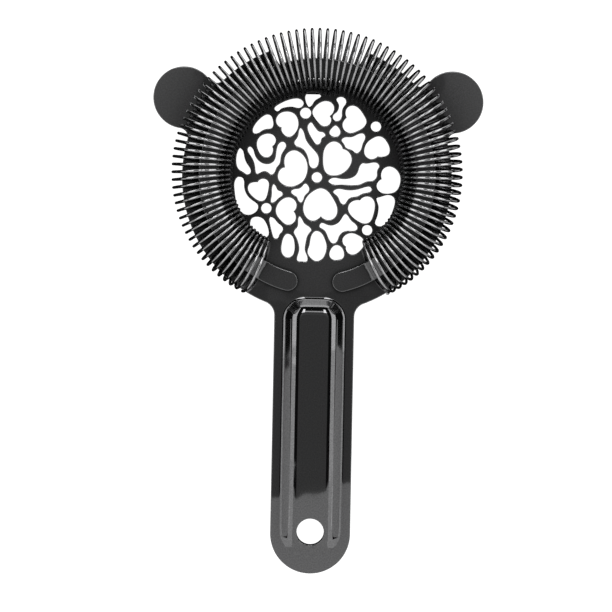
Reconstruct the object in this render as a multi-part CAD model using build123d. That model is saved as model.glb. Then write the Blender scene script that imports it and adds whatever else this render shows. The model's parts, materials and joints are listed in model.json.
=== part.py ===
from build123d import *
from math import atan2, cos, degrees, pi, radians, sin, sqrt, tan
import os

# Hawthorne strainer: a stamped plate with a handle, a flat C-shaped strip fixed to it, and one long coil
# spring threaded on the strip. Millimetres. The origin is the centre of the round plate on the face that
# carries the spring. +Z points out of that face, the handle runs along -Y and the finger tab is at +Y.

# ---- driving dimensions -------------------------------------------------------------------------------
sheet = 1.5                      # thickness of the stamped plate
disc_radius = 43.2
ear_angle = 60.0                 # each ear's direction, from +Y
ear_distance = 49.6              # centre of the ear's round end, from the origin
ear_radius = 9.9
ear_root_fillet = 3.0
handle_half_width = 12.8
handle_end_y = -114.1            # centre of the handle's round end
neck_fillet = 4.5
edge_round = 0.4                 # polished rim of the plate and of its round holes

hang_hole_radius = 4.35
hang_hole_y = -113.4

rib_height = 2.7                 # the handle's stamped rib stands this high above the face
rib_top_y = -38.8                # head of the rib's foot outline
rib_end_y = -113.6               # centre of the foot outline's round tail
rib_half_width = 9.6             # at the foot
rib_wall = 3.5                   # plan width of the sloping wall, without its blends
rib_corner = 6.8                 # plan radius of the foot outline's two corners at the head
foot_blend = 2.1
crown_blend = 5.4
ramp_start_y = -110.5            # past here the rib's crown comes down to the face, round the hanging hole
ramp_end_y = -124.0
ramp_end_height = 0.03

notch_floor_y = 28.6             # the finger tab is bent down along this line
notch_half_width = 5.7
notch_waist = (12.1, 35.1)       # where the notch's flare steepens
notch_mouth = (15.6, 41.4)
tab_bend_radius = 1.6            # inner radius
tab_bend_angle = 105.0
tab_length = 9.5                 # straight part, past the bend
tab_tip_half_width = 9.5
tab_corner = 3.5

strip_radius = 34.5              # middle of the C-shaped strip
strip_width = 6.4
strip_thickness = 0.8
strip_lift = 3.3                 # the strip's underside stands this high where it runs inside the coil
strip_end_angle = 14.6           # centre of the strip's round ends, from the handle's direction
strip_ramp_start = 29.0
strip_ramp_end = 36.5

wire_diameter = 0.9
coil_turns = 96
coil_radius = 9.1                # centre line of the wire, about the coil's own axis
coil_ring_radius = 36.5          # the coil's axis is bent round to this radius
coil_ring_offset = 0.4           # the ring sits this much towards the finger tab
coil_end_angle = 146.4           # each end of the ring, from +Y
coil_end_draw = 1.8              # the ends of the ring are drawn in by this much
coil_lean = 1.15                 # degrees of the ring by which each turn's top leans over, and
coil_lean_heading = 193.0        # the direction it leans in, from +Y; almost towards the handle
coil_end_lean = 3.3              # the end turns lean this many degrees more
coil_end_swing = 1.8             # the outer side of the end turns is swung this many degrees past their middle
coil_pitch_fade = 0.01           # the last few turns at each end close up a little
plate_gap = 0.15                 # between the resting wire and the plate


# ---- perforations -------------------------------------------------------------------------------------
# Round holes: centre x, centre y, radius.
round_holes = [
    (0.0, 0.0, 1.64),
    (-4.0, 20.5, 1.76),
    (18.6, 16.6, 1.64),
    (-16.0, -10.2, 1.64),
    (16.4, -16.6, 1.63),
]

# Heart-shaped holes. Each outline starts at the cleft between its two lobes and goes once round.
hearts = [
    [(-11.6, 15.8), (-12.8, 16.4), (-13.4, 17.9), (-12.6, 19.9), (-10.0, 20.9), (-7.5, 20.1),
     (-6.3, 17.5), (-6.9, 14.6), (-9.2, 12.8), (-11.2, 14.0)],
    [(3.7, 19.7), (4.2, 18.3), (3.4, 16.8), (2.0, 16.4), (-0.4, 18.2), (-1.8, 20.9),
     (-0.4, 23.2), (2.4, 24.5), (4.4, 23.8), (5.1, 22.2), (4.6, 20.6)],
    [(9.2, 19.3), (8.8, 20.9), (9.4, 22.5), (11.0, 23.2), (12.8, 22.5), (14.5, 20.4),
     (15.5, 18.0), (14.6, 16.3), (12.7, 15.1), (10.6, 14.4), (8.7, 15.1), (7.9, 17.0), (8.4, 18.4)],
    [(8.1, 9.2), (10.0, 8.3), (11.0, 6.2), (10.3, 3.6), (8.0, 1.4), (5.3, 0.7), (3.1, 1.4),
     (2.1, 3.5), (1.9, 6.4), (2.5, 9.6), (5.2, 11.6), (7.2, 10.8)],
    [(19.3, 7.1), (21.4, 7.1), (22.8, 7.9), (23.1, 9.7), (22.3, 11.6), (20.8, 13.2), (19.3, 13.5),
     (17.6, 12.8), (16.0, 11.5), (15.1, 9.5), (15.2, 7.6), (17.0, 6.2), (18.4, 6.4)],
    [(20.8, -0.2), (20.6, 1.6), (21.4, 3.2), (23.2, 3.9), (25.2, 3.1), (26.6, 1.0), (26.6, -1.6),
     (25.4, -3.9), (22.7, -4.8), (20.2, -4.2), (19.2, -2.5), (19.6, -1.2)],
    [(14.0, -7.1), (15.1, -6.1), (16.9, -5.9), (18.3, -7.0), (18.7, -9.3), (18.2, -11.9),
     (17.2, -13.9), (15.8, -14.5), (13.5, -13.8), (11.2, -12.0), (10.2, -9.9), (10.8, -8.1), (12.3, -7.2)],
    [(1.5, -12.4), (2.6, -13.3), (4.2, -13.6), (5.8, -12.9), (6.7, -11.0), (6.4, -8.8), (5.1, -6.4),
     (3.4, -4.3), (1.4, -3.5), (-0.8, -4.3), (-2.7, -5.9), (-3.9, -8.2), (-4.1, -10.7), (-3.3, -12.6),
     (-1.2, -13.9), (0.6, -13.3)],
    [(-10.2, 3.0), (-10.5, 5.0), (-10.0, 7.0), (-7.5, 8.5), (-5.5, 7.8), (-3.8, 5.9), (-3.1, 3.4),
     (-3.4, 0.8), (-4.4, -1.2), (-6.2, -2.5), (-8.6, -3.1), (-10.8, -2.4), (-12.3, -0.8), (-12.4, 0.8),
     (-11.8, 2.2)],
    [(-14.5, 9.7), (-14.3, 8.0), (-15.0, 6.6), (-16.4, 6.1), (-17.8, 6.7), (-19.0, 8.5),
     (-19.4, 10.6), (-18.8, 12.3), (-17.3, 13.4), (-15.6, 13.7), (-14.1, 13.1), (-13.4, 11.7), (-13.7, 10.5)],
    [(-18.9, -1.9), (-18.1, -1.0), (-16.8, -0.8), (-15.6, -1.6), (-15.4, -3.5), (-15.9, -6.1),
     (-16.7, -7.6), (-17.9, -7.9), (-19.8, -7.0), (-21.3, -5.6), (-22.0, -4.0), (-21.6, -2.6), (-20.4, -2.0)],
    [(-7.3, -11.1), (-6.6, -12.3), (-6.7, -13.9), (-7.7, -15.0), (-9.4, -15.3), (-11.0, -14.2),
     (-12.5, -12.4), (-12.9, -10.6), (-12.2, -8.6), (-10.6, -7.1), (-8.9, -6.6), (-7.2, -7.3),
     (-6.4, -8.7), (-6.6, -10.2)],
    [(-21.0, -14.6), (-20.4, -13.4), (-18.9, -13.0), (-17.2, -13.5), (-16.0, -15.0), (-15.2, -17.2),
     (-15.3, -19.0), (-16.4, -19.6), (-18.2, -18.6), (-19.2, -17.4), (-20.4, -16.6)],
    [(9.8, -22.0), (9.9, -23.3), (11.6, -24.5), (13.0, -24.2), (14.3, -23.1), (15.3, -21.6),
     (15.3, -19.8), (13.7, -18.4), (11.6, -17.7), (9.6, -18.3), (8.6, -19.8), (8.9, -21.2)],
]

# Rounded openings that fill the spaces between the hearts.
pebbles = [
    [(-13.4, 21.0), (-14.0, 21.8), (-12.7, 23.1), (-10.4, 24.3), (-7.7, 25.1), (-5.7, 24.9), (-4.7, 23.6),
     (-5.7, 22.2), (-8.0, 22.4), (-10.6, 22.2), (-12.2, 21.5)],
    [(-4.2, 25.6), (-3.7, 26.7), (-1.7, 27.1), (0.2, 26.7), (0.8, 26.0), (-0.2, 25.2), (-1.5, 24.0),
     (-2.3, 22.8), (-2.9, 22.5), (-3.7, 23.6)],
    [(5.9, 25.3), (7.0, 25.9), (8.5, 25.4), (8.9, 24.1), (8.1, 22.7), (7.6, 21.2), (7.6, 19.8),
     (7.1, 18.6), (6.0, 18.1), (4.9, 18.8), (4.9, 20.0), (6.0, 21.0), (6.6, 22.3), (6.4, 23.9)],
    [(5.8, 16.7), (6.8, 15.8), (7.2, 14.3), (6.5, 13.3), (4.9, 13.2), (3.8, 14.1), (4.0, 15.2), (4.9, 16.2)],
    [(7.8, 12.3), (8.3, 12.8), (10.8, 13.1), (13.3, 14.2), (14.7, 14.2), (15.2, 13.2), (14.5, 11.2),
     (13.7, 8.8), (12.6, 8.0), (11.1, 8.9), (9.1, 9.7), (8.5, 10.8)],
    [(14.9, 4.8), (17.0, 4.9), (19.2, 4.9), (19.9, 4.1), (19.3, 2.7), (19.2, 0.9), (17.8, -0.8),
     (16.1, -1.0), (14.3, -1.8), (11.6, -2.3), (7.7, -2.2), (4.5, -1.9), (3.8, -1.2), (4.6, -0.3),
     (7.4, -0.3), (10.3, -0.2), (12.1, 0.6), (13.2, 2.2), (13.8, 4.0)],
    [(5.4, -4.4), (6.1, -3.8), (9.5, -3.9), (13.2, -3.6), (15.8, -2.8), (17.2, -2.8), (17.6, -3.7),
     (16.6, -4.5), (14.8, -4.9), (13.1, -5.8), (11.1, -6.2), (9.8, -7.3), (8.8, -8.5), (8.0, -8.2),
     (7.1, -6.5), (5.9, -5.2)],
    [(19.5, -6.2), (20.5, -5.9), (22.0, -5.4), (23.6, -5.3), (24.8, -6.1), (25.1, -7.6), (24.6, -9.8),
     (23.7, -12.2), (22.2, -14.4), (20.3, -15.3), (19.0, -14.6), (19.4, -12.7), (19.9, -10.3), (19.7, -8.0)],
    [(-3.5, -2.1), (-2.7, -2.9), (-2.4, -4.0), (-3.1, -5.2), (-3.9, -6.1), (-4.3, -7.4), (-5.0, -8.1),
     (-5.7, -7.6), (-6.3, -6.4), (-7.7, -5.5), (-8.1, -4.6), (-7.3, -4.0), (-5.6, -3.7), (-4.4, -2.7)],
    [(-5.4, 15.6), (-4.7, 14.8), (-4.0, 12.6), (-2.7, 10.4), (-0.9, 8.5), (0.3, 6.7), (0.4, 4.7),
     (-0.2, 3.3), (-1.2, 2.9), (-2.2, 3.5), (-2.7, 5.4), (-3.5, 7.6), (-5.1, 9.3), (-7.1, 10.2),
     (-7.4, 10.9), (-6.5, 12.6), (-6.0, 14.7)],
    [(-2.4, 17.5), (-3.2, 16.4), (-2.7, 14.0), (-1.4, 11.8), (0.0, 10.5), (0.8, 11.0), (1.3, 12.5),
     (2.4, 13.5), (2.0, 14.3), (0.4, 14.7), (-0.6, 15.6), (-1.6, 17.0)],
    [(-15.9, 19.8), (-14.9, 19.2), (-14.5, 18.0), (-14.3, 16.5), (-14.8, 15.5), (-16.2, 15.2), (-17.7, 14.7),
     (-19.4, 13.7), (-20.5, 13.8), (-20.8, 14.9), (-20.1, 16.6), (-18.3, 18.7), (-17.0, 19.6)],
    [(-24.6, 8.8), (-23.9, 8.1), (-23.4, 6.2), (-22.6, 4.1), (-21.4, 2.3), (-21.3, 1.1), (-22.3, 0.5),
     (-23.4, 1.1), (-25.0, 2.1), (-25.8, 3.7), (-25.9, 5.9), (-25.4, 8.0)],
    [(-21.5, 9.4), (-20.7, 8.7), (-20.1, 7.0), (-19.0, 5.2), (-17.2, 4.1), (-15.1, 4.1), (-13.7, 5.2),
     (-13.2, 7.2), (-12.9, 9.3), (-12.0, 10.9), (-10.8, 11.1), (-10.1, 10.0), (-10.8, 8.4), (-11.7, 6.4),
     (-12.1, 4.1), (-13.1, 2.7), (-13.7, 1.2), (-14.6, 0.6), (-15.5, 1.2), (-16.9, 1.7), (-18.3, 1.1),
     (-19.3, 0.8), (-19.7, 1.8), (-20.0, 3.8), (-20.9, 5.9), (-22.1, 7.7), (-22.3, 8.8)],
    [(-24.8, -0.3), (-23.6, -0.9), (-23.3, -2.7), (-22.9, -4.9), (-21.7, -6.8), (-19.9, -8.2),
     (-18.7, -9.4), (-18.9, -10.8), (-20.2, -12.0), (-22.2, -12.4), (-23.9, -11.6), (-25.1, -9.8),
     (-25.9, -7.2), (-26.3, -4.3), (-26.3, -1.9), (-25.8, -0.8)],
    [(-13.7, -2.5), (-13.1, -3.2), (-12.4, -4.4), (-11.1, -5.0), (-10.9, -5.7), (-12.2, -6.9),
     (-13.6, -8.2), (-14.4, -8.3), (-14.5, -7.2), (-14.3, -5.2), (-14.2, -3.2)],
    [(-14.5, -13.0), (-13.7, -13.3), (-12.2, -14.9), (-10.6, -16.5), (-10.7, -17.3), (-11.7, -18.6),
     (-12.2, -19.7), (-13.1, -19.8), (-13.8, -18.7), (-14.3, -16.9), (-14.8, -14.8), (-14.9, -13.5)],
    [(-8.8, -18.3), (-7.5, -19.1), (-6.8, -21.3), (-6.8, -23.7), (-7.5, -25.3), (-8.8, -25.8),
     (-10.1, -25.3), (-10.9, -23.7), (-10.8, -21.3), (-10.1, -19.1)],
    [(-5.2, -12.7), (-4.6, -13.4), (-3.8, -14.8), (-2.1, -16.0), (-1.5, -16.9), (-2.1, -17.8), (-2.9, -19.3),
     (-3.3, -21.4), (-3.4, -23.5), (-2.6, -25.6), (-2.7, -26.9), (-4.2, -27.0), (-5.7, -26.8),
     (-5.6, -25.0), (-5.2, -23.2), (-5.6, -20.8), (-6.5, -18.8), (-7.0, -17.6), (-6.0, -16.1), (-5.7, -14.2)],
    [(0.4, -17.2), (1.9, -18.0), (2.9, -19.8), (3.5, -21.9), (3.2, -24.1), (2.2, -26.0), (0.3, -26.8),
     (-1.5, -25.8), (-2.5, -24.0), (-2.0, -21.9), (-1.7, -20.0), (-1.0, -18.0)],
    [(6.9, -21.6), (8.3, -22.3), (9.1, -24.0), (8.8, -25.7), (7.6, -26.2), (5.6, -26.2), (4.6, -25.2),
     (4.7, -23.5), (5.5, -22.2)],
    [(1.2, -15.3), (1.9, -14.6), (3.2, -15.0), (5.3, -15.3), (7.3, -14.3), (8.6, -12.4), (9.4, -11.6),
     (10.3, -12.4), (11.6, -14.0), (13.0, -15.2), (13.2, -16.3), (12.2, -16.9), (10.3, -16.9),
     (8.6, -17.4), (7.3, -19.0), (6.5, -20.7), (5.4, -21.0), (4.6, -20.3), (3.7, -18.5), (2.2, -16.5)],
]


def heart_face(points):
    return make_face(Spline(*points, points[0]))


def pebble_face(points):
    return make_face(Spline(*points, periodic=True))


def perforations():
    holes = [Pos(x, y) * Circle(radius) for x, y, radius in round_holes]
    holes += [heart_face(points) for points in hearts]
    holes += [pebble_face(points) for points in pebbles]
    return holes


# ---- plate --------------------------------------------------------------------------------------------
def notch_outline():
    """The opening that the finger tab's metal was bent out of."""
    half = [(notch_half_width, notch_floor_y), notch_waist, notch_mouth]
    top = (notch_mouth[0], disc_radius + 2.0)
    left = [(-x, y) for x, y in half]
    return make_face(Polyline(*half, top, (-top[0], top[1]), *reversed(left), close=True))


def plate_outline():
    outline = Circle(disc_radius)
    for side in (-1, 1):
        ear = Pos(0, ear_distance / 2) * Rectangle(2 * ear_radius, ear_distance)
        ear += Pos(0, ear_distance) * Circle(ear_radius)
        outline += Rot(0, 0, side * ear_angle) * ear
    outline += Pos(0, handle_end_y / 2) * Rectangle(2 * handle_half_width, -handle_end_y)
    outline += Pos(0, handle_end_y) * Circle(handle_half_width)

    neck_y = -sqrt(disc_radius**2 - handle_half_width**2)
    neck = [v for v in outline.vertices() if abs(v.Y - neck_y) < 0.01]
    outline = fillet(neck, neck_fillet)
    roots = [v for v in outline.vertices() if abs(sqrt(v.X**2 + v.Y**2) - disc_radius) < 0.01 and v.Y > 0]
    outline = fillet(roots, ear_root_fillet)
    return outline


def rib_outline(inset):
    """The rib's foot: a long shape with two rounded corners at its head and a round tail."""
    half_width = rib_half_width - inset
    top_y = rib_top_y - inset
    foot = Pos(0, (top_y + rib_end_y) / 2) * Rectangle(2 * half_width, top_y - rib_end_y)
    foot += Pos(0, rib_end_y) * Circle(half_width)
    head = [v for v in foot.vertices() if v.Y > top_y - 0.01]
    return fillet(head, rib_corner - inset)


def above_crown():
    """Everything above the rib's crown line; the line is level, then a ramp down almost to the face."""
    ramp = Spline((ramp_start_y, rib_height), (ramp_end_y, ramp_end_height), tangents=((-1, 0), (-1, 0)))
    beyond = ramp_end_y - foot_blend
    above = 2 * rib_height
    rest = Polyline(ramp @ 1, (beyond, ramp_end_height), (beyond, above), (ramp_start_y, above), ramp @ 0)
    return extrude(Plane.YZ * make_face(ramp + rest), 2 * handle_half_width, both=True)


def pressed_form(depth, crown_radius, foot_radius):
    """A block whose top is the stamped handle's surface, at a depth below the spring-side surface."""
    inset = depth * tan(atan2(rib_height, rib_wall) / 2)
    form = extrude(offset(rib_outline(0), amount=foot_radius), -sheet / 2)
    form += extrude(rib_outline(inset), rib_height, taper=degrees(atan2(rib_wall, rib_height)))
    crown = [e for e in form.edges() if all(v.Z > rib_height - 0.01 for v in e.vertices())]
    form = fillet(crown, crown_radius)
    widest = rib_half_width + 0.01
    foot = [e for e in form.edges() if abs(e.center().Z) < 0.01 and abs(e.center().X) < widest
            and all(abs(v.Z) < 0.01 and abs(v.X) < widest for v in e.vertices())
            and rib_end_y - widest < e.center().Y < rib_top_y + 0.01]
    form = fillet(foot, foot_radius)
    return Pos(0, 0, -depth) * (form - above_crown())


def finger_tab():
    """The tab hangs from the notch's floor: a bend, then a fan that widens to its tip."""
    bend_centre_z = -sheet - tab_bend_radius
    root = Plane(origin=(0, notch_floor_y, -sheet / 2), x_dir=(1, 0, 0), z_dir=(0, 1, 0))
    hinge = Axis((0, notch_floor_y, bend_centre_z), (-1, 0, 0))
    bend = revolve(root * Rectangle(2 * notch_half_width, sheet), hinge, tab_bend_angle)

    turn = radians(tab_bend_angle)
    reach = tab_bend_radius + sheet / 2
    start = (0, notch_floor_y + reach * sin(turn), bend_centre_z + reach * cos(turn))
    outward = (0, sin(turn), cos(turn))
    flare = tab_length * 0.6
    half = [(notch_half_width, 0), (tab_tip_half_width, flare), (tab_tip_half_width, tab_length)]
    mirrored = [(-x, y) for x, y in reversed(half)]
    fan = make_face(Polyline(*half, *mirrored, close=True))
    fan = fillet([v for v in fan.vertices() if v.Y > tab_length - 0.1], tab_corner)
    plane = Plane(origin=start, x_dir=(1, 0, 0), z_dir=outward)
    lap = Pos(0, notch_floor_y - edge_round, -sheet / 2) * Box(2 * notch_half_width, 2 * edge_round, sheet)
    return lap + bend + plane * extrude(fan, sheet / 2, both=True)


def strainer_plate():
    flat = plate_outline() - notch_outline()
    for hole in perforations():
        flat -= hole
    plate = extrude(flat, -sheet)
    for side in (-1, 0):
        edges = plate.faces().sort_by(Axis.Z)[side].edges()
        plate = fillet([e for e in edges if e.geom_type in (GeomType.LINE, GeomType.CIRCLE)], edge_round)
    plate += pressed_form(0, crown_blend, foot_blend)
    plate -= pressed_form(sheet, crown_blend - sheet, foot_blend + sheet)
    hole = Pos(0, hang_hole_y, rib_height) * Cylinder(hang_hole_radius, 4 * rib_height)
    plate -= hole
    plate += finger_tab()
    return plate


# ---- spring retainer ----------------------------------------------------------------------------------
def strip_section(angle, lift):
    """Cross-section of the strip, at an angle from the handle's direction."""
    outward = (sin(radians(angle)), -cos(radians(angle)), 0)
    along = (cos(radians(angle)), sin(radians(angle)), 0)
    middle = (strip_radius * outward[0], strip_radius * outward[1], lift + strip_thickness / 2)
    return Plane(origin=middle, x_dir=outward, z_dir=along) * Rectangle(strip_width, strip_thickness)


def strip_arc(from_angle, to_angle, lift):
    section = strip_section(from_angle, lift)
    return revolve(section, Axis.Z, to_angle - from_angle)


def spring_retainer():
    strip = strip_arc(strip_ramp_end, 360 - strip_ramp_end, strip_lift)
    for side in (1, -1):
        foot_angles = sorted((side * strip_end_angle, side * strip_ramp_start))
        foot = strip_arc(*foot_angles, 0)
        end = Pos(side * strip_radius * sin(radians(strip_end_angle)),
                  -strip_radius * cos(radians(strip_end_angle)))
        foot += end * extrude(Circle(strip_width / 2), strip_thickness)
        ramp = loft([strip_section(side * strip_ramp_start, 0), strip_section(side * strip_ramp_end, strip_lift)])
        strip += foot + ramp
    return strip


# ---- coil spring --------------------------------------------------------------------------------------
def coil_point(turn):
    """A point of the wire's centre line; turn runs from 0 to coil_turns."""
    share = 2 * turn / coil_turns - 1
    spread = (1 + coil_pitch_fade) * share - coil_pitch_fade * share**15
    section = 2 * pi * turn
    place = coil_end_angle * spread
    lean = coil_lean * sin(radians(coil_lean_heading - place)) + coil_end_lean * share**9
    swing = coil_end_swing * share**3
    angle = radians(place + lean * sin(section) + swing * cos(section))
    ring = coil_ring_radius + coil_ring_offset * cos(radians(place)) - coil_end_draw * abs(share) ** 6
    radius = ring + coil_radius * cos(section)
    height = plate_gap + wire_diameter / 2 + coil_radius * (1 + sin(section))
    return Vector(radius * sin(angle), radius * cos(angle), height)


def coil_direction(turn):
    step = 0.001
    return (coil_point(turn + step) - coil_point(turn - step)).normalized()


def tangent_arcs(start, start_dir, end, end_dir):
    """Two arcs that join start to end and keep both directions."""
    span = end - start
    both = start_dir + end_dir
    spread = 1 - start_dir.dot(end_dir)
    reach = (-span.dot(both) + sqrt(span.dot(both) ** 2 + 2 * spread * span.dot(span))) / (2 * spread)
    start_arm = start + start_dir * reach
    end_arm = end - end_dir * reach
    middle = (start_arm + end_arm) * 0.5
    middle_dir = (end_arm - start_arm).normalized()
    first = Edge.make_tangent_arc(start, start_dir, middle)
    second = Edge.make_tangent_arc(middle, middle_dir, end)
    return [first, second]


def coil_spring():
    spans_per_turn = 6
    edges = []
    for i in range(coil_turns * spans_per_turn):
        a = i / spans_per_turn
        b = (i + 1) / spans_per_turn
        edges += tangent_arcs(coil_point(a), coil_direction(a), coil_point(b), coil_direction(b))
    path = Wire(edges)
    start = Plane(origin=coil_point(0), z_dir=coil_direction(0))
    return sweep(start * Circle(wire_diameter / 2), path=path)


os.makedirs("parts", exist_ok=True)
export_step(strainer_plate(), "parts/strainer_plate.step")
export_step(spring_retainer(), "parts/spring_retainer.step")
export_step(coil_spring(), "parts/coil_spring.step")
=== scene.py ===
import json
from math import acos, atan2, ceil, cos, hypot, pi, radians, sin, sqrt, tan

import bmesh
import bpy
import numpy as np
from mathutils import Matrix, Vector
from mathutils.geometry import delaunay_2d_cdt


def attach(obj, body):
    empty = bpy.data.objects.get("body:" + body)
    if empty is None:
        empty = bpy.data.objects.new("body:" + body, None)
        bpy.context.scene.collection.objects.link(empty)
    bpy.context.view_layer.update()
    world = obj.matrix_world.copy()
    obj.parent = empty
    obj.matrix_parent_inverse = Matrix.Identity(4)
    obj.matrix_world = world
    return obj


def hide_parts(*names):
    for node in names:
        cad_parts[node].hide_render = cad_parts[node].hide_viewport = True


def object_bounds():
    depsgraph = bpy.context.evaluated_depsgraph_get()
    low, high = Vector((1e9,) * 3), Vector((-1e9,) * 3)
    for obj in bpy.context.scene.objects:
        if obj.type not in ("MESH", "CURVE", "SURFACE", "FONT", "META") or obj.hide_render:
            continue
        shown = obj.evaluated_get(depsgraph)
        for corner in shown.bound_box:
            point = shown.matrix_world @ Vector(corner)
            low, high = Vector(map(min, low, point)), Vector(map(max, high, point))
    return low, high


# The hawthorne strainer's looks. Axes as in the CAD: +Z out of the spring side, handle along -Y. Metres.
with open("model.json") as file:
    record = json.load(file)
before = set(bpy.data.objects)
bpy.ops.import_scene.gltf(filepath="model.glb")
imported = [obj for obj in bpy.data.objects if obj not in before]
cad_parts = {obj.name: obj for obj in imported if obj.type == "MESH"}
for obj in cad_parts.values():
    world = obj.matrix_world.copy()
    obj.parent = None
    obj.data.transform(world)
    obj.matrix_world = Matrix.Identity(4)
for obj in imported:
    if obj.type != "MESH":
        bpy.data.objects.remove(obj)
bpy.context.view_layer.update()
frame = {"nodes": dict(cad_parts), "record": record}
mm = 0.001

# ---- driving dimensions ---------------------------------------------------------------------------------
mounts = {m["name"]: m for m in frame["record"]["mounts"]}
hole_radius = mounts["hang_hole"]["dims"]["r_mm"] * mm
hole_y = mounts["hang_hole"]["pos_m"][1]

sheet = 1.5 * mm
edge_round = 0.3 * mm              # worn, tumbled edges of the stamping
disc_radius = 43.2 * mm
ear_angle = radians(60)            # from +Y
ear_distance = 49.6 * mm
ear_radius = 9.9 * mm
ear_root_fillet = 3.0 * mm
handle_half_width = 12.8 * mm
handle_end_y = -114.1 * mm
neck_fillet = 4.5 * mm

notch_floor_y = 28.6 * mm
notch_half_width = 5.7 * mm
notch_waist = (12.1 * mm, 35.1 * mm)
notch_mouth = (15.6 * mm, 41.4 * mm)
tab_bend_radius = 3.1 * mm         # outer radius
tab_bend_angle = radians(105)
tab_length = 9.5 * mm
tab_tip_half_width = 9.5 * mm
tab_corner = 3.5 * mm

rib_height = 2.7 * mm
rib_top_y = -38.8 * mm
rib_end_y = -113.6 * mm
rib_half_width = 9.6 * mm
rib_wall = 3.5 * mm
rib_corner = 6.8 * mm
foot_blend = 2.1 * mm
crown_blend = 5.4 * mm
ramp_start_y = -110.5 * mm
ramp_end_y = -124.0 * mm

strip_radius = 34.5 * mm
strip_width = 6.4 * mm
strip_thickness = 0.8 * mm
strip_lift = 3.3 * mm
strip_edge_round = 0.35 * mm
strip_end_angle = radians(14.6)
strip_ramp_start = radians(29.0)
strip_ramp_end = radians(36.5)

wire_radius = 0.45 * mm
wire_end_bevel = (0.72, 0.3)       # of the wire's radius: the cut end's flat, and the bevel's length
coil_turns = 96
coil_radius = 9.1 * mm
coil_ring_radius = 36.5 * mm
coil_ring_offset = 0.4 * mm
coil_end_angle = 146.4             # degrees, as are the leans, the heading and the swing below
coil_end_draw = 1.8 * mm
coil_end_lean = 3.3
coil_lean = 1.15
coil_lean_heading = 193.0
coil_end_swing = 1.8
coil_pitch_fade = 0.01             # as a share of the end angle
plate_gap = 0.15 * mm


# ---- plane curves ---------------------------------------------------------------------------------------
def arc(centre, radius, start, turn, step=0.5 * mm):
    """Points of an arc from angle start through turn, both in radians, with its end points."""
    count = max(6, ceil(abs(turn) * radius / step))
    angles = start + turn * np.linspace(0, 1, count + 1)
    return np.column_stack((centre[0] + radius * np.cos(angles), centre[1] + radius * np.sin(angles)))


def straight(start, end, step=1.2 * mm):
    """Points strictly between two ends."""
    start = np.array(start)
    end = np.array(end)
    count = max(2, ceil(np.linalg.norm(end - start) / step))
    share = np.linspace(0, 1, count + 1)[1:-1, None]
    return start + (end - start) * share


def mirrored(half):
    """Closes a right-hand half outline with its mirror image; a point on the centre line is kept once."""
    left = half[::-1] * (-1, 1)
    return np.vstack((half, left[np.abs(left[:, 0]) > 1e-7]))


def round_corner(before, corner, after, radius):
    """Arc points that replace a corner of a polygon."""
    before, corner, after = (np.array(p) for p in (before, corner, after))
    u = (before - corner) / np.linalg.norm(before - corner)
    v = (after - corner) / np.linalg.norm(after - corner)
    half = acos(np.clip(u @ v, -1, 1)) / 2
    bisector = (u + v) / np.linalg.norm(u + v)
    centre = corner + bisector * radius / sin(half)
    a = corner + u * radius / tan(half) - centre
    b = corner + v * radius / tan(half) - centre
    start = atan2(a[1], a[0])
    turn = atan2(a[0] * b[1] - a[1] * b[0], a @ b)
    return arc(centre, radius, start, turn, 0.4 * mm)


def blank_outline():
    """The flat blank, right half from the handle's end round to the tab's tip, before it is formed."""
    neck_x = handle_half_width + neck_fillet
    neck_y = -sqrt((disc_radius + neck_fillet) ** 2 - neck_x**2)
    neck_turn = atan2(-neck_y, -neck_x) - pi
    handle_end = arc((0, handle_end_y), handle_half_width, -pi / 2, pi / 2)
    neck = arc((neck_x, neck_y), neck_fillet, pi, neck_turn)

    ear_way = pi / 2 - ear_angle
    ear = ear_distance * np.array([cos(ear_way), sin(ear_way)])
    to_root = disc_radius + ear_root_fillet
    ear_to_root = ear_radius + ear_root_fillet
    spread = acos((to_root**2 + ear_distance**2 - ear_to_root**2) / (2 * to_root * ear_distance))
    low_root = to_root * np.array([cos(ear_way - spread), sin(ear_way - spread)])
    high_root = to_root * np.array([cos(ear_way + spread), sin(ear_way + spread)])

    def way(a, b):
        return atan2(b[1] - a[1], b[0] - a[0])

    def between(start, end, sign):
        turn = (end - start) % (2 * pi)
        return turn if sign > 0 else turn - 2 * pi

    origin = (0, 0)
    mouth_way = atan2(notch_mouth[1], notch_mouth[0])
    neck_way = atan2(neck_y, neck_x)
    disc_low = arc(origin, disc_radius, neck_way, (ear_way - spread) - neck_way)
    start = way(low_root, origin)
    root_1 = arc(low_root, ear_root_fillet, start, between(start, way(low_root, ear), -1))
    start = way(ear, low_root)
    lobe = arc(ear, ear_radius, start, between(start, way(ear, high_root), 1))
    start = way(high_root, ear)
    root_2 = arc(high_root, ear_root_fillet, start, between(start, way(high_root, origin), -1))
    rim_way = acos(notch_mouth[0] / disc_radius)
    disc_high = arc(origin, disc_radius, ear_way + spread, min(mouth_way, rim_way) - ear_way - spread)

    floor = (notch_half_width, notch_floor_y)
    bend_end_y = notch_floor_y + tab_bend_radius * tab_bend_angle
    flare = (tab_tip_half_width, bend_end_y + 0.6 * tab_length)
    tip = (tab_tip_half_width, bend_end_y + tab_length)
    tip_corner = round_corner(flare, tip, (0, tip[1]), tab_corner)
    rim = disc_high[-1]
    notch = np.vstack((straight(rim, notch_waist), [notch_waist], straight(notch_waist, floor), [floor]))
    tab = np.vstack((straight(floor, (floor[0], bend_end_y), 0.4 * mm), [(floor[0], bend_end_y)],
                     straight((floor[0], bend_end_y), flare), [flare], tip_corner,
                     straight(tip_corner[-1], (0, tip[1])), [(0, tip[1])]))
    side = straight(handle_end[-1], neck[0])
    half = np.vstack((handle_end, side, neck, disc_low[1:], root_1[1:], lobe[1:], root_2[1:],
                      disc_high[1:], notch, tab))
    return mirrored(half)


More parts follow.
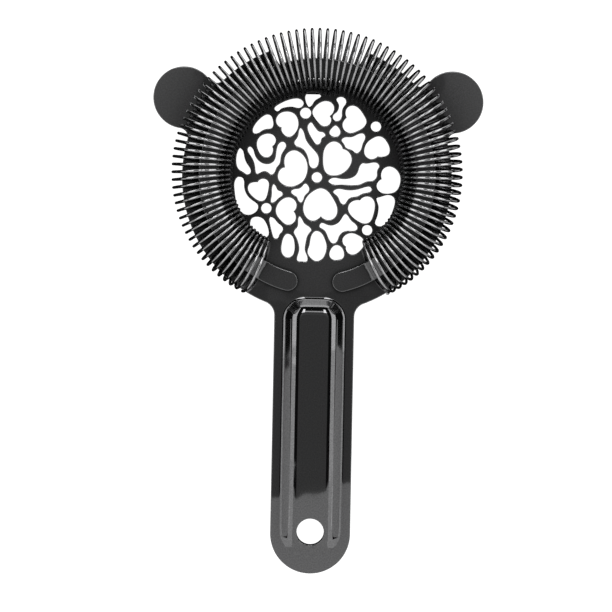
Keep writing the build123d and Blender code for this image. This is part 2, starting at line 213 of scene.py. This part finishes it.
def section_loops(obj, height):
    """Closed outlines of a CAD object at a height, as lists of plane points."""
    bm = bmesh.new()
    bm.from_mesh(obj.data)
    bmesh.ops.remove_doubles(bm, verts=bm.verts, dist=1e-7)
    cut = bmesh.ops.bisect_plane(bm, geom=bm.verts[:] + bm.edges[:] + bm.faces[:],
                                 plane_co=(0, 0, height), plane_no=(0, 0, 1))
    beside = {}
    for edge in cut["geom_cut"]:
        if isinstance(edge, bmesh.types.BMEdge):
            a, b = edge.verts
            beside.setdefault(a, []).append(b)
            beside.setdefault(b, []).append(a)
    loops = []
    while beside:
        here, last, loop = next(iter(beside)), None, []
        while here in beside:
            loop.append((here.co.x, here.co.y))
            steps = [v for v in beside.pop(here) if v is not last]
            last, here = here, steps[0]
        loops.append(np.array(loop))
    bm.free()
    return loops


def turns(points):
    """Unit chords after each point of a closed outline, their lengths, and the turn at each point."""
    chord = np.roll(points, -1, axis=0) - points
    length = np.linalg.norm(chord, axis=1)
    unit = chord / length[:, None]
    before = np.roll(unit, 1, axis=0)
    turn = np.arctan2(before[:, 0] * unit[:, 1] - before[:, 1] * unit[:, 0], (before * unit).sum(1))
    return unit, length, turn


same_point = 0.01 * mm             # outline points closer than this are one
straight_on = radians(1)           # a turn smaller than this is no corner
sharp_turn = radians(40)           # a turn inwards beyond this stays a sharp corner


def smooth_outline(points, step=0.35 * mm):
    """A faceted closed outline, redrawn as a smooth curve through its corners; real corners stay sharp."""
    apart = np.linalg.norm(points - np.roll(points, 1, axis=0), axis=1) > same_point
    points = points[apart]
    points = points[np.abs(turns(points)[2]) > straight_on]
    unit, length, turn = turns(points)
    before, before_length = np.roll(unit, 1, axis=0), np.roll(length, 1)
    along = before * length[:, None] + unit * before_length[:, None]
    along /= np.linalg.norm(along, axis=1)[:, None]
    leave, arrive = along.copy(), along.copy()
    for i in np.nonzero(turn * np.sign(turn.sum()) < -sharp_turn)[0]:
        after = (i + 1) % len(points)
        leave[i] = 2 * (unit[i] @ along[after]) * unit[i] - along[after]
        arrive[i] = 2 * (before[i] @ along[i - 1]) * before[i] - along[i - 1]
    made = []
    for i, point in enumerate(points):
        after = (i + 1) % len(points)
        t = np.arange(max(1, round(length[i] / step)))[:, None] / max(1, round(length[i] / step))
        made.append((1 + 2 * t) * (1 - t) ** 2 * point + t * (1 - t) ** 2 * length[i] * leave[i]
                    + t**2 * (3 - 2 * t) * points[after] - t**2 * (1 - t) * length[i] * arrive[after])
    return np.vstack(made)


def signed_area(points):
    """Area of a closed outline, positive where it runs anticlockwise."""
    x, y = points.T
    return 0.5 * np.sum(x * np.roll(y, -1) - y * np.roll(x, -1))


def inside(points, outline):
    """Which points lie inside a closed outline."""
    x, y = points.T
    within = np.zeros(len(points), bool)
    for (x1, y1), (x2, y2) in zip(outline, np.roll(outline, -1, axis=0)):
        if y1 != y2:
            within ^= ((y1 > y) != (y2 > y)) & (x < (x2 - x1) * (y - y1) / (y2 - y1) + x1)
    return within


# ---- sheet metal ----------------------------------------------------------------------------------------
def material_side(outline):
    """At each point of an outline that runs with the metal on its left, the way to step into the metal."""
    unit, _, _ = turns(outline)
    left = np.column_stack((-unit[:, 1], unit[:, 0]))
    before = np.roll(left, 1, axis=0)
    sharpest = -0.6                    # keeps the step short at a very sharp corner
    dot = np.clip((left * before).sum(1), sharpest, 1)
    return (left + before) / (1 + dot)[:, None]


def sheet_piece(name, outer, holes, seeds, seed_lines, surface, thickness, rounding):
    """A formed sheet as one closed mesh: a flat blank with rounded edges, laid on a surface.

    surface maps blank points to (places, normals). seeds are extra blank points; seed_lines are closed
    or open runs of blank points that triangles must follow.
    """
    outlines = [outer if signed_area(outer) > 0 else outer[::-1]]
    outlines += [h if signed_area(h) < 0 else h[::-1] for h in holes]
    into = [material_side(o) for o in outlines]
    radius = []
    share_of_gap = 0.4                 # an edge is rounded by no more than this much of the web beside it
    for i, outline in enumerate(outlines):
        others = np.vstack([o for j, o in enumerate(outlines) if j != i]) if len(outlines) > 1 else None
        room = np.full(len(outline), 1.0)
        if others is not None:
            for k, point in enumerate(outline):
                room[k] = np.min(np.hypot(*(others - point).T))
        near = np.minimum.reduce([np.roll(room, s) for s in (-2, -1, 0, 1, 2)])
        radius.append(np.minimum(rounding, share_of_gap * near)[:, None])

    # The flat of the sheet, triangulated between the rounded edges.
    rims = [o + n * r for o, n, r in zip(outlines, into, radius)]
    flat = [tuple(p) for rim in rims for p in rim]
    edges = []
    first = 0
    for rim in rims:
        edges += [(first + i, first + (i + 1) % len(rim)) for i in range(len(rim))]
        first += len(rim)
    for line in seed_lines:
        start = len(flat)
        flat += [tuple(p) for p in line]
        edges += [(start + i, start + i + 1) for i in range(len(line) - 1)]
    flat += [tuple(p) for p in seeds]
    scaled = [Vector((x * 1000, y * 1000)) for x, y in flat]
    verts, _, faces, sources, _, _ = delaunay_2d_cdt(scaled, edges, [], 0, 1e-5)
    verts = np.array([(v.x, v.y) for v in verts]) / 1000
    faces = np.array(faces)
    middle = verts[faces].mean(axis=1)
    keep = inside(middle, rims[0])
    for rim in rims[1:]:
        keep &= ~inside(middle, rim)
    faces = faces[keep]
    place = {}
    for made, source in enumerate(sources):
        for s in source:
            place[s] = made

    used = np.unique(faces)
    new = np.full(len(verts), -1)
    new[used] = np.arange(len(used))
    faces = new[faces]
    spots, normals = surface(verts[used])
    below = spots - normals * thickness
    count = len(used)
    points = [spots, below]
    point_normals = [normals, -normals]
    polygons = [tuple(f) for f in faces] + [tuple(count + i for i in f[::-1]) for f in faces]
    total = 2 * count

    # The rounded edges: a quarter round, the wall, and a quarter round again.
    quarter = np.radians([22.5, 45, 67.5, 90])
    profile = [(1 - sin(a), 1 - cos(a), 0) for a in quarter]
    profile += [(1 - sin(a), cos(a) - 1, 1) for a in quarter[::-1]]
    first = 0
    for outline, way, r in zip(outlines, into, radius):
        size = len(outline)
        rim = np.array([new[place[first + i]] for i in range(size)])
        first += size
        rings = [rim]
        ring_points = [spots[rim]]
        for step_in, depth, far in profile:
            s, n = surface(outline + way * r * step_in)
            ring_points.append(s - n * (r * depth + far * thickness))
            rings.append(total + np.arange(size))
            total += size
        rings.append(count + rim)
        ring_points.append(below[rim])
        stack = np.array(ring_points)
        along = np.roll(stack, -1, axis=1) - np.roll(stack, 1, axis=1)
        across = np.gradient(stack, axis=0)
        across[4] = stack[5] - stack[4]
        across[5] = across[4]
        normal = np.cross(along, across)
        normal /= np.maximum(np.linalg.norm(normal, axis=2), 1e-12)[:, :, None]
        for k in range(1, len(rings) - 1):
            points.append(stack[k])
            point_normals.append(-normal[k])
        for a, b in zip(rings[:-1], rings[1:]):
            for i in range(size):
                j = (i + 1) % size
                polygons.append((a[i], b[i], b[j], a[j]))
    return solid_mesh(name, np.vstack(points), polygons, np.vstack(point_normals))


def solid_mesh(name, points, polygons, normals):
    """A closed mesh object, shaded with the given normal at each of its points."""
    mesh = bpy.data.meshes.new(name)
    mesh.from_pydata(points.tolist(), [], [tuple(int(i) for i in p) for p in polygons])
    mesh.validate()
    mesh.shade_smooth()
    mesh.normals_split_custom_set_from_vertices(normals.tolist())
    obj = bpy.data.objects.new(name, mesh)
    bpy.context.scene.collection.objects.link(obj)
    return obj


# ---- the strainer plate ---------------------------------------------------------------------------------
wall_angle = atan2(rib_height, rib_wall)
foot_reach = foot_blend * tan(wall_angle / 2)
crown_reach = crown_blend * tan(wall_angle / 2)
foot_start = -foot_reach
foot_end = foot_start + foot_blend * sin(wall_angle)
crown_end = rib_wall + crown_reach
crown_start = crown_end - crown_blend * sin(wall_angle)


def rib_inset(x, y):
    """How far inside the rib's foot outline a point lies, and the way in."""
    corner_x = rib_half_width - rib_corner
    corner_y = rib_top_y - rib_corner
    side = np.sign(x)
    across = np.abs(x)
    gap = rib_half_width - across
    way = np.column_stack((-side, np.zeros_like(x)))
    head = rib_top_y - y
    use = (head < gap) & (y > rib_end_y)
    gap = np.where(use, head, gap)
    way[use] = (0, -1)
    for centre_x, centre_y, radius, use in (
            (corner_x, corner_y, rib_corner, (across > corner_x) & (y > corner_y)),
            (0, rib_end_y, rib_half_width, y < rib_end_y)):
        out_x = across - centre_x
        out_y = y - centre_y
        far = np.maximum(np.hypot(out_x, out_y), 1e-9)
        gap = np.where(use, radius - far, gap)
        way[use] = np.column_stack((-side * out_x / far, -out_y / far))[use]
    return gap, way


def rib_profile(inset):
    """Height and slope of the rib at an inset from its foot outline."""
    height = np.zeros_like(inset)
    slope = np.zeros_like(inset)
    foot = (inset > foot_start) & (inset <= foot_end)
    u = inset - foot_start
    root = np.sqrt(np.maximum(foot_blend**2 - u**2, 1e-12))
    height[foot] = (foot_blend - root)[foot]
    slope[foot] = (u / root)[foot]
    wall = (inset > foot_end) & (inset <= crown_start)
    height[wall] = (inset * tan(wall_angle))[wall]
    slope[wall] = tan(wall_angle)
    crown = (inset > crown_start) & (inset < crown_end)
    u = crown_end - inset
    root = np.sqrt(np.maximum(crown_blend**2 - u**2, 1e-12))
    height[crown] = (rib_height - crown_blend + root)[crown]
    slope[crown] = (u / root)[crown]
    height[inset >= crown_end] = rib_height
    return height, slope


def plate_surface(points):
    """The spring-side face of the formed plate, for points of the flat blank, and its normals."""
    x, y = points.T
    inset, way = rib_inset(x, y)
    height, slope = rib_profile(inset)
    t = np.clip((ramp_start_y - y) / (ramp_start_y - ramp_end_y), 0, 1)
    ramp = 1 - t * t * (3 - 2 * t)
    ramp_slope = 6 * t * (1 - t) / (ramp_start_y - ramp_end_y)
    rise_x = slope * way[:, 0] * ramp
    rise_y = slope * way[:, 1] * ramp + height * ramp_slope
    spots = np.column_stack((x, y, height * ramp))
    normals = np.column_stack((-rise_x, -rise_y, np.ones_like(x)))

    run = y - notch_floor_y
    tab = (run > 0) & (np.abs(x) < notch_half_width + 0.4 * run)
    turn = np.clip(run / tab_bend_radius, 0, tab_bend_angle)
    past = np.maximum(run - tab_bend_radius * tab_bend_angle, 0)
    bent_y = notch_floor_y + tab_bend_radius * np.sin(turn) + past * np.cos(turn)
    bent_z = tab_bend_radius * (np.cos(turn) - 1) - past * np.sin(turn)
    spots[tab] = np.column_stack((x, bent_y, bent_z))[tab]
    normals[tab] = np.column_stack((np.zeros_like(x), np.sin(turn), np.cos(turn)))[tab]
    normals /= np.linalg.norm(normals, axis=1)[:, None]
    return spots, normals


def rib_line(inset):
    """A closed run of points at one inset from the rib's foot outline."""
    half = rib_half_width - inset
    corner = max(rib_corner - inset, 0.2 * mm)
    centre = (half - corner, rib_top_y - inset - corner)
    tail = arc((0, rib_end_y), half, -pi / 2, pi / 2, 0.7 * mm)
    head = arc(centre, corner, 0, pi / 2, 0.45 * mm)
    top = straight(head[-1], (0, head[-1][1]))
    loop = mirrored(np.vstack((tail, straight(tail[-1], head[0]), head, top, [(0, head[-1][1])])))
    return np.vstack((loop, loop[:1]))


def make_plate():
    """The plate: its perforations are read from the CAD solid, cut at half the sheet's thickness."""
    cad = frame["nodes"]["strainer_plate"]
    smallest_hole = 1 * mm**2
    pattern_reach = 28 * mm
    holes = [smooth_outline(loop) for loop in section_loops(cad, -sheet / 2)
             if np.max(np.hypot(*loop.T)) < pattern_reach and abs(signed_area(loop)) > smallest_hole]
    holes.append(arc((0, hole_y), hole_radius, 0, 2 * pi, 0.4 * mm)[:-1])
    insets = list(np.linspace(foot_start, foot_end, 5)) + [(foot_end + crown_start) / 2]
    insets += list(np.linspace(crown_start, crown_end, 8))
    lines = [rib_line(i) for i in insets]
    seeds = []
    hole_clearance = 0.9 * mm
    for x in np.arange(-4, 4.1, 0.8) * mm:
        for y in np.arange(ramp_end_y, ramp_start_y + 2 * mm, 0.8 * mm):
            inset = rib_inset(np.array([x]), np.array([y]))[0]
            if hypot(x, y - hole_y) > hole_radius + hole_clearance and inset > crown_end:
                seeds.append((x, y))
    for turn in np.linspace(0.06, 1, 16):
        y = notch_floor_y + tab_bend_radius * tab_bend_angle * turn
        seeds += [(x, y) for x in np.linspace(-1, 1, 12) * (notch_half_width - 0.6 * mm)]
    return sheet_piece("plate", blank_outline(), holes, seeds, lines, plate_surface, sheet, edge_round)


# ---- the spring retainer --------------------------------------------------------------------------------
def strip_surface(points):
    """Top face of the C-shaped strip: flat feet on the plate, a ramp, and the raised part inside the coil."""
    x, y = points.T
    angle = np.abs(np.arctan2(x, -y))
    span = strip_ramp_end - strip_ramp_start
    t = np.clip((angle - strip_ramp_start) / span, 0, 1)
    lift = strip_lift * t * t * (3 - 2 * t)
    slope = strip_lift * 6 * t * (1 - t) / (span * strip_radius)
    side = np.sign(x)
    along = np.column_stack((side * np.cos(angle), np.sin(angle)))
    spots = np.column_stack((x, y, lift + strip_thickness))
    normals = np.column_stack((-along * slope[:, None], np.ones_like(x)))
    normals /= np.linalg.norm(normals, axis=1)[:, None]
    return spots, normals


def make_strip():
    """The retainer: a flat C with round ends, laid on its raised surface."""
    inner = strip_radius - strip_width / 2
    outer = strip_radius + strip_width / 2
    start = -pi / 2 + strip_end_angle
    turn = 2 * pi - 2 * strip_end_angle
    step = 0.4 * mm
    end_centre = strip_radius * np.array([cos(start + turn), sin(start + turn)])
    start_centre = strip_radius * np.array([cos(start), sin(start)])
    cap_1 = arc(end_centre, strip_width / 2, start + turn, pi, step)
    cap_2 = arc(start_centre, strip_width / 2, start + pi, pi, step)
    outline = np.vstack((arc((0, 0), outer, start, turn, 1.0 * mm), cap_1[1:],
                         arc((0, 0), inner, start + turn, -turn, 1.0 * mm)[1:], cap_2[1:-1]))
    clear = 0.05                       # radians left free at both ends
    lines = [arc((0, 0), strip_radius + off * mm, start + clear, turn - 2 * clear, 0.7 * mm)
             for off in (-1.5, 0, 1.5)]
    return sheet_piece("strip", outline, [], [], lines, strip_surface, strip_thickness, strip_edge_round)


# ---- the coil spring ------------------------------------------------------------------------------------
def coil_line(turn):
    """Points of the wire's centre line at counts of turns from one end, and their angles round the ring."""
    share = 2 * turn / coil_turns - 1
    spread = (1 + coil_pitch_fade) * share - coil_pitch_fade * share**15
    section = 2 * pi * turn
    place = coil_end_angle * spread
    lean = coil_lean * np.sin(np.radians(coil_lean_heading - place)) + coil_end_lean * share**9
    swing = coil_end_swing * share**3
    angle = np.radians(place + lean * np.sin(section) + swing * np.cos(section))
    ring = coil_ring_radius + coil_ring_offset * np.cos(np.radians(place))
    ring = ring - coil_end_draw * np.abs(share) ** 6
    radius = ring + coil_radius * np.cos(section)
    height = plate_gap + wire_radius + coil_radius * (1 + np.sin(section))
    return np.column_stack((radius * np.sin(angle), radius * np.cos(angle), height)), angle


def make_coil(steps_per_turn=40, sides=10):
    """The wire, swept along its centre line."""
    turn = np.linspace(0, coil_turns, coil_turns * steps_per_turn + 1)
    centre, angle = coil_line(turn)
    along = np.gradient(centre, axis=0)
    along /= np.linalg.norm(along, axis=1)[:, None]
    ring_way = np.column_stack((np.cos(angle), -np.sin(angle), np.zeros_like(angle)))
    a = ring_way - along * (ring_way * along).sum(1)[:, None]
    a /= np.linalg.norm(a, axis=1)[:, None]
    b = np.cross(along, a)
    phase = 2 * pi * np.arange(sides) / sides
    out = a[:, None] * np.cos(phase)[:, None] + b[:, None] * np.sin(phase)[:, None]
    rings = centre[:, None] + out * wire_radius
    points = rings.reshape(-1, 3)
    normals = out.reshape(-1, 3)
    polygons = []
    for i in range(len(turn) - 1):
        for j in range(sides):
            k = (j + 1) % sides
            polygons.append((i * sides + j, i * sides + k, (i + 1) * sides + k, (i + 1) * sides + j))

    # Each cut end: a small bevel, then a flat.
    flat, length = wire_end_bevel
    for end, way in ((0, -1), (len(turn) - 1, 1)):
        face_way = along[end] * way
        bevel = centre[end] + out[end] * wire_radius * flat + face_way * wire_radius * length
        start = len(points)
        points = np.vstack((points, bevel, bevel))
        slant = out[end] + face_way
        slant /= np.linalg.norm(slant, axis=1)[:, None]
        normals = np.vstack((normals, slant, np.tile(face_way, (sides, 1))))
        for j in range(sides):
            k = (j + 1) % sides
            quad = (end * sides + j, end * sides + k, start + k, start + j)
            polygons.append(quad if way > 0 else quad[::-1])
        cap = [start + sides + j for j in range(sides)]
        polygons.append(tuple(cap) if way > 0 else tuple(cap[::-1]))
    return solid_mesh("coil", points, polygons, normals)


# ---- materials ------------------------------------------------------------------------------------------
sheet_tint = (0.32, 0.32, 0.325)
wire_tint = (0.85, 0.85, 0.86)
sheet_roughness = 0.035
wire_roughness = 0.08
grain_noise = (2600, 3)            # scale and detail
smear_noise = (90, 5)
wave_noise = (80, 1)
noise_middle = (0.3, 0.7)          # nearly all of a noise lies between these
smear_range = (0.8, 1.25)          # times the roughness
speck_range = (0.8, 1.2)           # times the tint
# Painted shade: ambient occlusion over this reach, raised to this power, darkens the base colour in nooks and
# under the coil.
painted_shade_reach = 15 * mm
painted_shade_power = 2.5
painted_shade_samples = 8


def new_material(name, roughness):
    """A material and its shader."""
    material = bpy.data.materials.new(name)
    material.use_nodes = True
    shader = material.node_tree.nodes["Principled BSDF"]
    shader.inputs["Roughness"].default_value = roughness
    return material, shader


def noise(tree, coords, scale, detail):
    """A noise texture in the object's own coordinates."""
    node = tree.nodes.new("ShaderNodeTexNoise")
    node.inputs["Scale"].default_value = scale
    node.inputs["Detail"].default_value = detail
    tree.links.new(coords.outputs["Object"], node.inputs["Vector"])
    return node.outputs["Fac"]


def stretched(tree, value, low, high):
    """A noise's middle range, stretched to run from low to high."""
    node = tree.nodes.new("ShaderNodeMapRange")
    for socket, limit in zip(("From Min", "From Max", "To Min", "To Max"), (*noise_middle, low, high)):
        node.inputs[socket].default_value = limit
    tree.links.new(value, node.inputs["Value"])
    return node.outputs["Result"]


def maths(tree, operation, first, second):
    """Two values combined; the second is a socket or a plain number."""
    node = tree.nodes.new("ShaderNodeMath")
    node.operation = operation
    tree.links.new(first, node.inputs[0])
    if isinstance(second, bpy.types.NodeSocket):
        tree.links.new(second, node.inputs[1])
    else:
        node.inputs[1].default_value = second
    return node.outputs["Value"]


def bump(tree, height, distance, normal=None):
    """A bumped normal, on top of an earlier one where it is given."""
    node = tree.nodes.new("ShaderNodeBump")
    node.inputs["Strength"].default_value = 1.0
    node.inputs["Distance"].default_value = distance
    tree.links.new(height, node.inputs["Height"])
    if normal is not None:
        tree.links.new(normal, node.inputs["Normal"])
    return node.outputs["Normal"]


def plated_metal(name, tint, roughness, grain, wave):
    """Dark plated metal: polishing grain, faint smears, the waviness of pressed metal, and painted shade
    where it is occluded.
    """
    material, shader = new_material(name, roughness)
    shader.inputs["Metallic"].default_value = 1.0
    tree = material.node_tree
    coords = tree.nodes.new("ShaderNodeTexCoord")
    fine = noise(tree, coords, *grain_noise)
    smear = noise(tree, coords, *smear_noise)
    broad = noise(tree, coords, *wave_noise)

    low, high = smear_range
    tree.links.new(stretched(tree, smear, roughness * low, roughness * high), shader.inputs["Roughness"])

    # Painted shade: ambient occlusion, raised to a power, darkens the base colour in nooks and where the coil
    # shades the plate; the specks are the metal's own random tone.
    shade_occlusion = tree.nodes.new("ShaderNodeAmbientOcclusion")
    shade_occlusion.samples = painted_shade_samples
    shade_occlusion.inputs["Distance"].default_value = painted_shade_reach
    painted_shade_factor = maths(tree, "POWER", shade_occlusion.outputs["AO"], painted_shade_power)
    specks_and_painted_shade = maths(tree, "MULTIPLY", stretched(tree, fine, *speck_range), painted_shade_factor)
    colour = tree.nodes.new("ShaderNodeVectorMath")
    colour.operation = "SCALE"
    colour.inputs[0].default_value = tint
    tree.links.new(specks_and_painted_shade, colour.inputs["Scale"])
    tree.links.new(colour.outputs["Vector"], shader.inputs["Base Color"])

    tree.links.new(bump(tree, fine, grain, bump(tree, broad, wave)), shader.inputs["Normal"])
    return material


def dress(obj, material, body, node):
    """Gives a piece its material and its body, and hides the CAD node that it stands in for."""
    obj.data.materials.append(material)
    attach(obj, body)
    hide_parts(node)


plate = make_plate()
strip = make_strip()
coil = make_coil()
dress(plate, plated_metal("plate_metal", sheet_tint, sheet_roughness, grain=0.0001 * mm, wave=0.1 * mm),
      "strainer", "strainer_plate")
dress(strip, plated_metal("strip_metal", sheet_tint, sheet_roughness, grain=0.0001 * mm, wave=0.02 * mm),
      "strainer", "spring_retainer")
dress(coil, plated_metal("wire_metal", wire_tint, wire_roughness, grain=0.0004 * mm, wave=0.001 * mm),
      "spring", "coil_spring")


# ---- floor ----------------------------------------------------------------------------------------------
# A light table: it glows evenly, and reflections see through it.
floor_reach = 3.0
floor_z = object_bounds()[0].z
floor_mesh = bpy.data.meshes.new("floor")
floor_corners = [(x * floor_reach, y * floor_reach, floor_z) for x, y in ((-1, -1), (1, -1), (1, 1), (-1, 1))]
floor_mesh.from_pydata(floor_corners, [], [(0, 1, 2, 3)])
floor = bpy.data.objects.new("floor", floor_mesh)
bpy.context.scene.collection.objects.link(floor)
floor_paint, floor_shader = new_material("floor_paint", 0.7)
floor_shader.inputs["Base Color"].default_value = (0.2, 0.2, 0.2, 1)
floor_shader.inputs["Emission Color"].default_value = (1, 1, 1, 1)
floor_shader.inputs["Emission Strength"].default_value = 1.0
floor_mesh.materials.append(floor_paint)
floor.visible_glossy = False


# ---- light panels ---------------------------------------------------------------------------------------
# Plain soft panels, placed so that each face of the metal reflects one of about the right brightness.
panel_height = 1.0
softbox_end_y = 1.3
bright_from_y = -0.085
dark_from_y = -0.192
studio_end_y = -1.5
back_y = 1.0


def panel(name, corners, radiance):
    """A rectangular light panel, given by a corner, the next and the last. It faces x_way cross y_way."""
    corner, along, last = (Vector(c) for c in corners)
    x_way = along - corner
    y_way = last - corner
    light = bpy.data.lights.new(name, "AREA")
    light.shape = "RECTANGLE"
    light.size = x_way.length
    light.size_y = y_way.length
    light.energy = radiance * pi * light.size * light.size_y
    obj = bpy.data.objects.new(name, light)
    bpy.context.scene.collection.objects.link(obj)
    facing = x_way.cross(y_way).normalized()
    turned = Matrix((x_way.normalized(), y_way.normalized(), facing)).transposed().to_4x4()
    turned.translation = corner + (x_way + y_way) / 2
    obj.matrix_world = turned @ Matrix.Rotation(pi, 4, "X")


def overhead(name, x_range, y_range, radiance, height=panel_height):
    """A panel that lies flat and faces down."""
    (x0, x1), (y0, y1) = x_range, y_range
    panel(name, ((x0, y0, height), (x0, y1, height), (x1, y0, height)), radiance)


def upright(name, y, x_range, z_range, radiance):
    """A panel across the handle's line. It faces -y, or +y where x_range runs backwards."""
    (x0, x1), (z0, z1) = x_range, z_range
    panel(name, ((x0, y, z0), (x1, y, z0), (x0, y, z1)), radiance)


# Left and right, leaning: a softbox beside the disc, then a dim and a grey card along the handle.
side_inner_x = 0.58
side_outer_x = 1.12
side_outer_z = 0.661
for side, name in ((-1, "left"), (1, "right")):
    for part, start_y, end_y, radiance in (("_softbox", bright_from_y, softbox_end_y, 1.05),
                                           ("_dim_card", dark_from_y, bright_from_y, 0.65),
                                           ("_grey_card", studio_end_y, dark_from_y, 0.55)):
        if side > 0:
            start_y, end_y = end_y, start_y
        panel(name + part, ((side * side_inner_x, end_y, panel_height),
                            (side * side_inner_x, start_y, panel_height),
                            (side * side_outer_x, end_y, side_outer_z)), radiance)

# Low on both sides, an upright card turned so that one corner points towards +y.
low_card_tilt = radians(60)
for side, name, tip_y in ((-1, "left", -0.02), (1, "right", 0.0)):
    tip = Vector((side * 1.0, tip_y, 0.29))
    upper = tip + 0.5 * Vector((0, -cos(low_card_tilt), sin(low_card_tilt)))
    lower = tip + 1.6 * Vector((0, -sin(low_card_tilt), -cos(low_card_tilt)))
    panel(name + "_low_card", (tip, lower, upper) if side > 0 else (tip, upper, lower), 0.4)

# Bright panels overhead for the wire's highlights, with a dimmer one between them.
overhead("left_top_wire_card", (-0.2, -0.04), (0.28, 0.8), 2.5)
overhead("right_top_wire_card", (0.04, 0.2), (0.28, 0.8), 2.5)
overhead("head_card", (-0.04, 0.04), (0.3, 0.48), 0.8)

# Panels that reach below the floor's level, for metal that faces outwards.
upright("back_tip_card", back_y, (-0.5, 0.75), (-0.8, 0.0), 0.7)
panel("right_tip_card", ((1.2, 0.6, -0.8), (1.2, -0.3, -0.8), (1.2, 0.6, 0.0)), 0.35)
upright("handle_end_card", studio_end_y, (1.1, -1.1), (-0.6, 1.0), 0.4)

# Dim panels overhead, which the flat of the plate reflects: from the handle's root to the far ears, then the
# handle.
ear_card_height = 0.99
overhead("panel_card", (-0.16, 0.16), (dark_from_y, -0.03), 0.08)
overhead("overhead_card", (-0.16, 0.16), (-0.03, 0.22), 0.105)
overhead("left_ear_card", (-0.2, -0.092), (0.04, 0.25), 0.07, ear_card_height)
overhead("right_ear_card", (0.1, 0.2), (0.04, 0.25), 0.08, ear_card_height)
overhead("handle_card", (-side_inner_x, side_inner_x), (studio_end_y, dark_from_y), 0.35)

# Behind the finger tab: a grey panel, and a bright one above it.
upright("back_low_card", back_y, (-0.45, 0.75), (0.0, 0.3), 0.7)
upright("back_card", back_y, (-0.45, 0.75), (0.3, 0.62), 1.1)


# ---- world ----------------------------------------------------------------------------------------------
# White, but almost black in reflections, so that only the panels show in the metal.
world = bpy.data.worlds.new("studio")
bpy.context.scene.world = world
world.use_nodes = True
world_nodes = world.node_tree.nodes
world_links = world.node_tree.links
backdrop = world_nodes["Background"]
backdrop.inputs["Color"].default_value = (1, 1, 1, 1)
backdrop.inputs["Strength"].default_value = 1.0
room = world_nodes.new("ShaderNodeBackground")
room.inputs["Color"].default_value = (1, 1, 1, 1)
room.inputs["Strength"].default_value = 0.01
rays = world_nodes.new("ShaderNodeLightPath")
pick = world_nodes.new("ShaderNodeMixShader")
world_links.new(rays.outputs["Is Glossy Ray"], pick.inputs["Fac"])
world_links.new(backdrop.outputs["Background"], pick.inputs[1])
world_links.new(room.outputs["Background"], pick.inputs[2])
world_links.new(pick.outputs["Shader"], world_nodes["World Output"].inputs["Surface"])


# ---- camera ---------------------------------------------------------------------------------------------
view_centre = (-0.0027, -0.04128)
view_distance = 0.65
view_width = 0.19584                   # of the frame, at z = 0
view_turn = radians(1.1)
camera_data = bpy.data.cameras.new("camera")
camera = bpy.data.objects.new("camera", camera_data)
bpy.context.scene.collection.objects.link(camera)
bpy.context.scene.camera = camera
camera.location = (*view_centre, view_distance)
camera.rotation_euler = (0, 0, view_turn)
camera_data.lens = camera_data.sensor_width * view_distance / view_width
camera_data.dof.use_dof = False
bpy.context.scene.view_settings.view_transform = "Standard"
